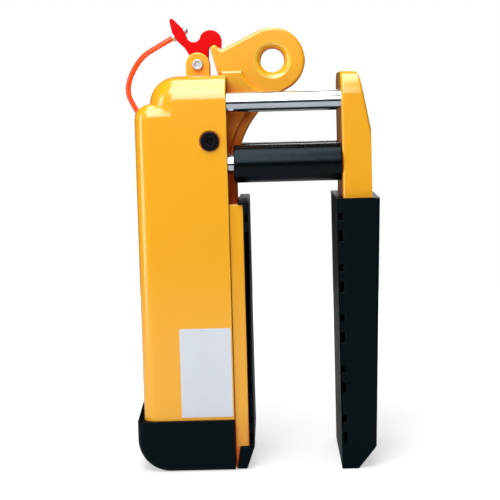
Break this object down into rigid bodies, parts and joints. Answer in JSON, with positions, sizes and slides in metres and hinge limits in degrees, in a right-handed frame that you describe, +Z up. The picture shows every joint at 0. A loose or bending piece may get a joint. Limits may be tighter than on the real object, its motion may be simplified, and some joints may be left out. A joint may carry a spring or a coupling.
{
  "type": "slab lifting clamp",
  "caption": "Crane-hung clamp for upright slabs: pulling the lifting eye slides a padded jaw out of the housing towards a fixed padded jaw on tie rods; a red latch holds it open.",
  "frame": {"origin": "under the middle of the clamp's box without its cable, on the surface it stands on", "axes": "+X from the housing towards the fixed outer jaw, +Y across the width, +Z up"},
  "size_m": [0.2548, 0.128, 0.457],
  "materials": {
    "yellow_paint": "gloss powder coat",
    "black_rubber": "matt moulded rubber",
    "chromed_rod": "hard chrome, polished",
    "zinc_plated_steel": "bright zinc plate",
    "black_screw": "black oxide",
    "inner_steel": "bare machined steel",
    "red_paint": "gloss paint",
    "orange_cable": "gloss plastic sheath",
    "black_plastic": "matt nylon"
  },
  "bodies": {
    "housing": {"shell": "yellow_paint", "base_bumper": "black_rubber", "left_slot_plate": "inner_steel", "right_slot_plate": "inner_steel", "left_rod_anchor": "inner_steel", "right_rod_anchor": "inner_steel", "anchor_screws": "black_screw", "left_upper_rod": "chromed_rod", "right_upper_rod": "chromed_rod", "left_lower_rod": "chromed_rod", "right_lower_rod": "chromed_rod", "left_rod_sleeve": "black_rubber", "right_rod_sleeve": "black_rubber", "fixed_jaw_plate": "yellow_paint", "fixed_jaw_boot": "black_rubber", "rod_end_washers": "zinc_plated_steel", "rod_end_screws": "zinc_plated_steel", "latch_ears": "yellow_paint", "latch_bolt": "zinc_plated_steel", "latch_nut": "zinc_plated_steel", "release_cable": "orange_cable", "cable_gland": "black_plastic", "trip_guide": "inner_steel", "trip_spring": "inner_steel"},
    "jaw": {"jaw_channel": "yellow_paint", "jaw_pad": "black_rubber", "upper_jaw_axle": "inner_steel", "lower_jaw_axle": "inner_steel", "jaw_rollers": "inner_steel", "jaw_axle_rings": "inner_steel"},
    "arm": {"lifting_arm": "yellow_paint", "arm_axle": "inner_steel", "arm_rollers": "inner_steel", "arm_axle_rings": "inner_steel"},
    "latch": {"latch_lever": "red_paint", "cable_ferrule": "zinc_plated_steel", "cable_nut": "zinc_plated_steel"},
    "trip": {"trip_slider": "inner_steel"}
  },
  "joints": [
    {"name": "jaw_close", "type": "slide", "parent": "housing", "child": "jaw", "axis": [1, 0, 0], "range_m": [0, 0.06]},
    {"name": "arm_lift", "type": "slide", "parent": "jaw", "child": "arm", "axis": [0, 0, 1], "range_m": [0, 0.078]},
    {"name": "latch_swing", "type": "hinge", "parent": "housing", "child": "latch", "pos_m": [-0.0552, 0, 0.409], "axis": [0, -1, 0], "range_deg": [0, 22], "stiffness_Nm_per_rad": 0.6, "springref_deg": -22.92, "deforming": ["release_cable"]},
    {"name": "trip_slide", "type": "slide", "parent": "housing", "child": "trip", "axis": [0.4924, 0, -0.8704], "range_m": [0, 0.014], "deforming": ["trip_spring"]}
  ],
  "couplings": [
    {"joint": "arm_lift", "follows": "jaw_close", "ratio": 1.3},
    {"joint": "trip_slide", "follows": "latch_swing", "m_per_rad": 0.036457}
  ]
}
